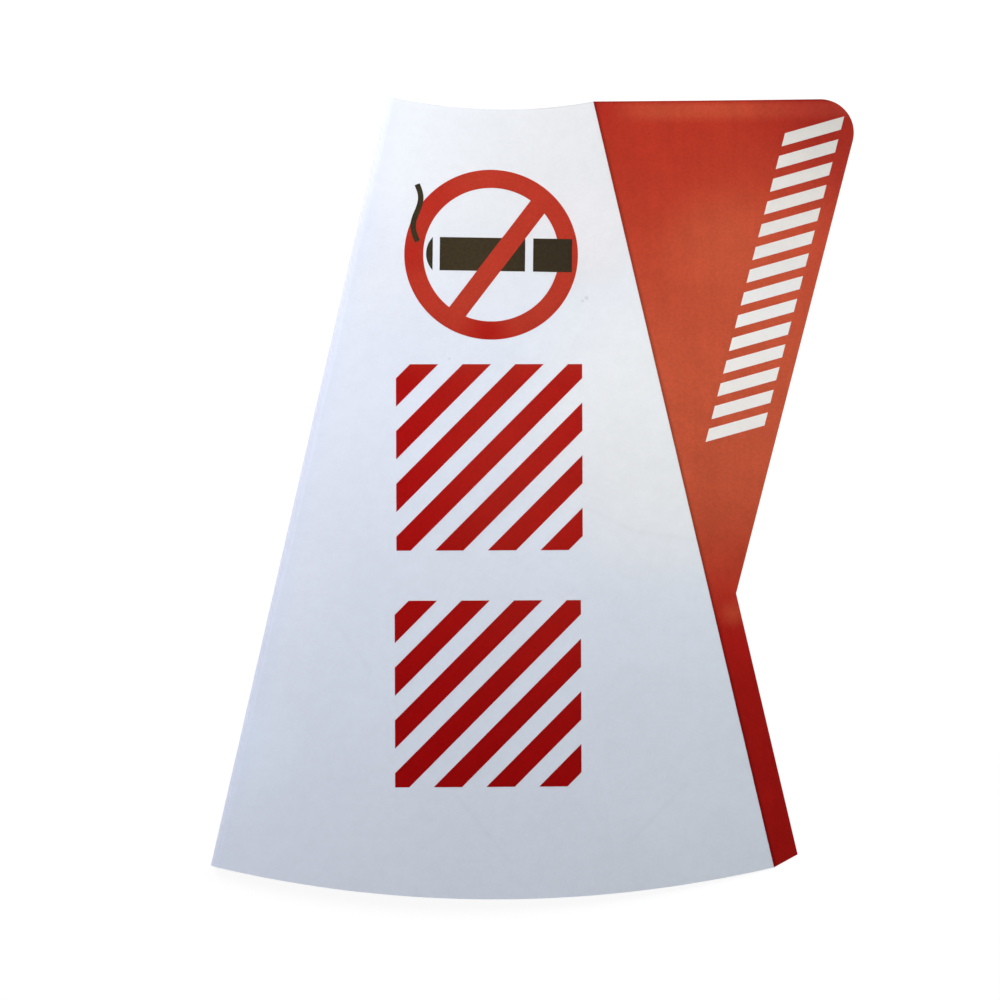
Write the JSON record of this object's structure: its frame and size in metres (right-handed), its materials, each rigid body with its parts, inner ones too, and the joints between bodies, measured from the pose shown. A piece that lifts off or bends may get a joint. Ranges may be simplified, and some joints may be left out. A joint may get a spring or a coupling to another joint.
{
  "type": "no smoking cone sleeve sign",
  "caption": "Flat-folded tapered plastic sleeve sign for a road cone, with a soft fold, a bonded side flag and a no smoking pictogram.",
  "frame": {"origin": "middle of the flat-folded sign's box, on the surface that it lies on", "axes": "+Y towards the sign's top, +X towards its flag, +Z out of its printed front"},
  "size_m": [0.4508, 0.5604, 0.0114],
  "materials": {
    "white_plastic": "satin cool white sheet",
    "red_ink": "satin red print",
    "dark_ink": "satin brown-black print"
  },
  "bodies": {
    "root": {"folded_sheet": "white_plastic"}
  },
  "joints": []
}
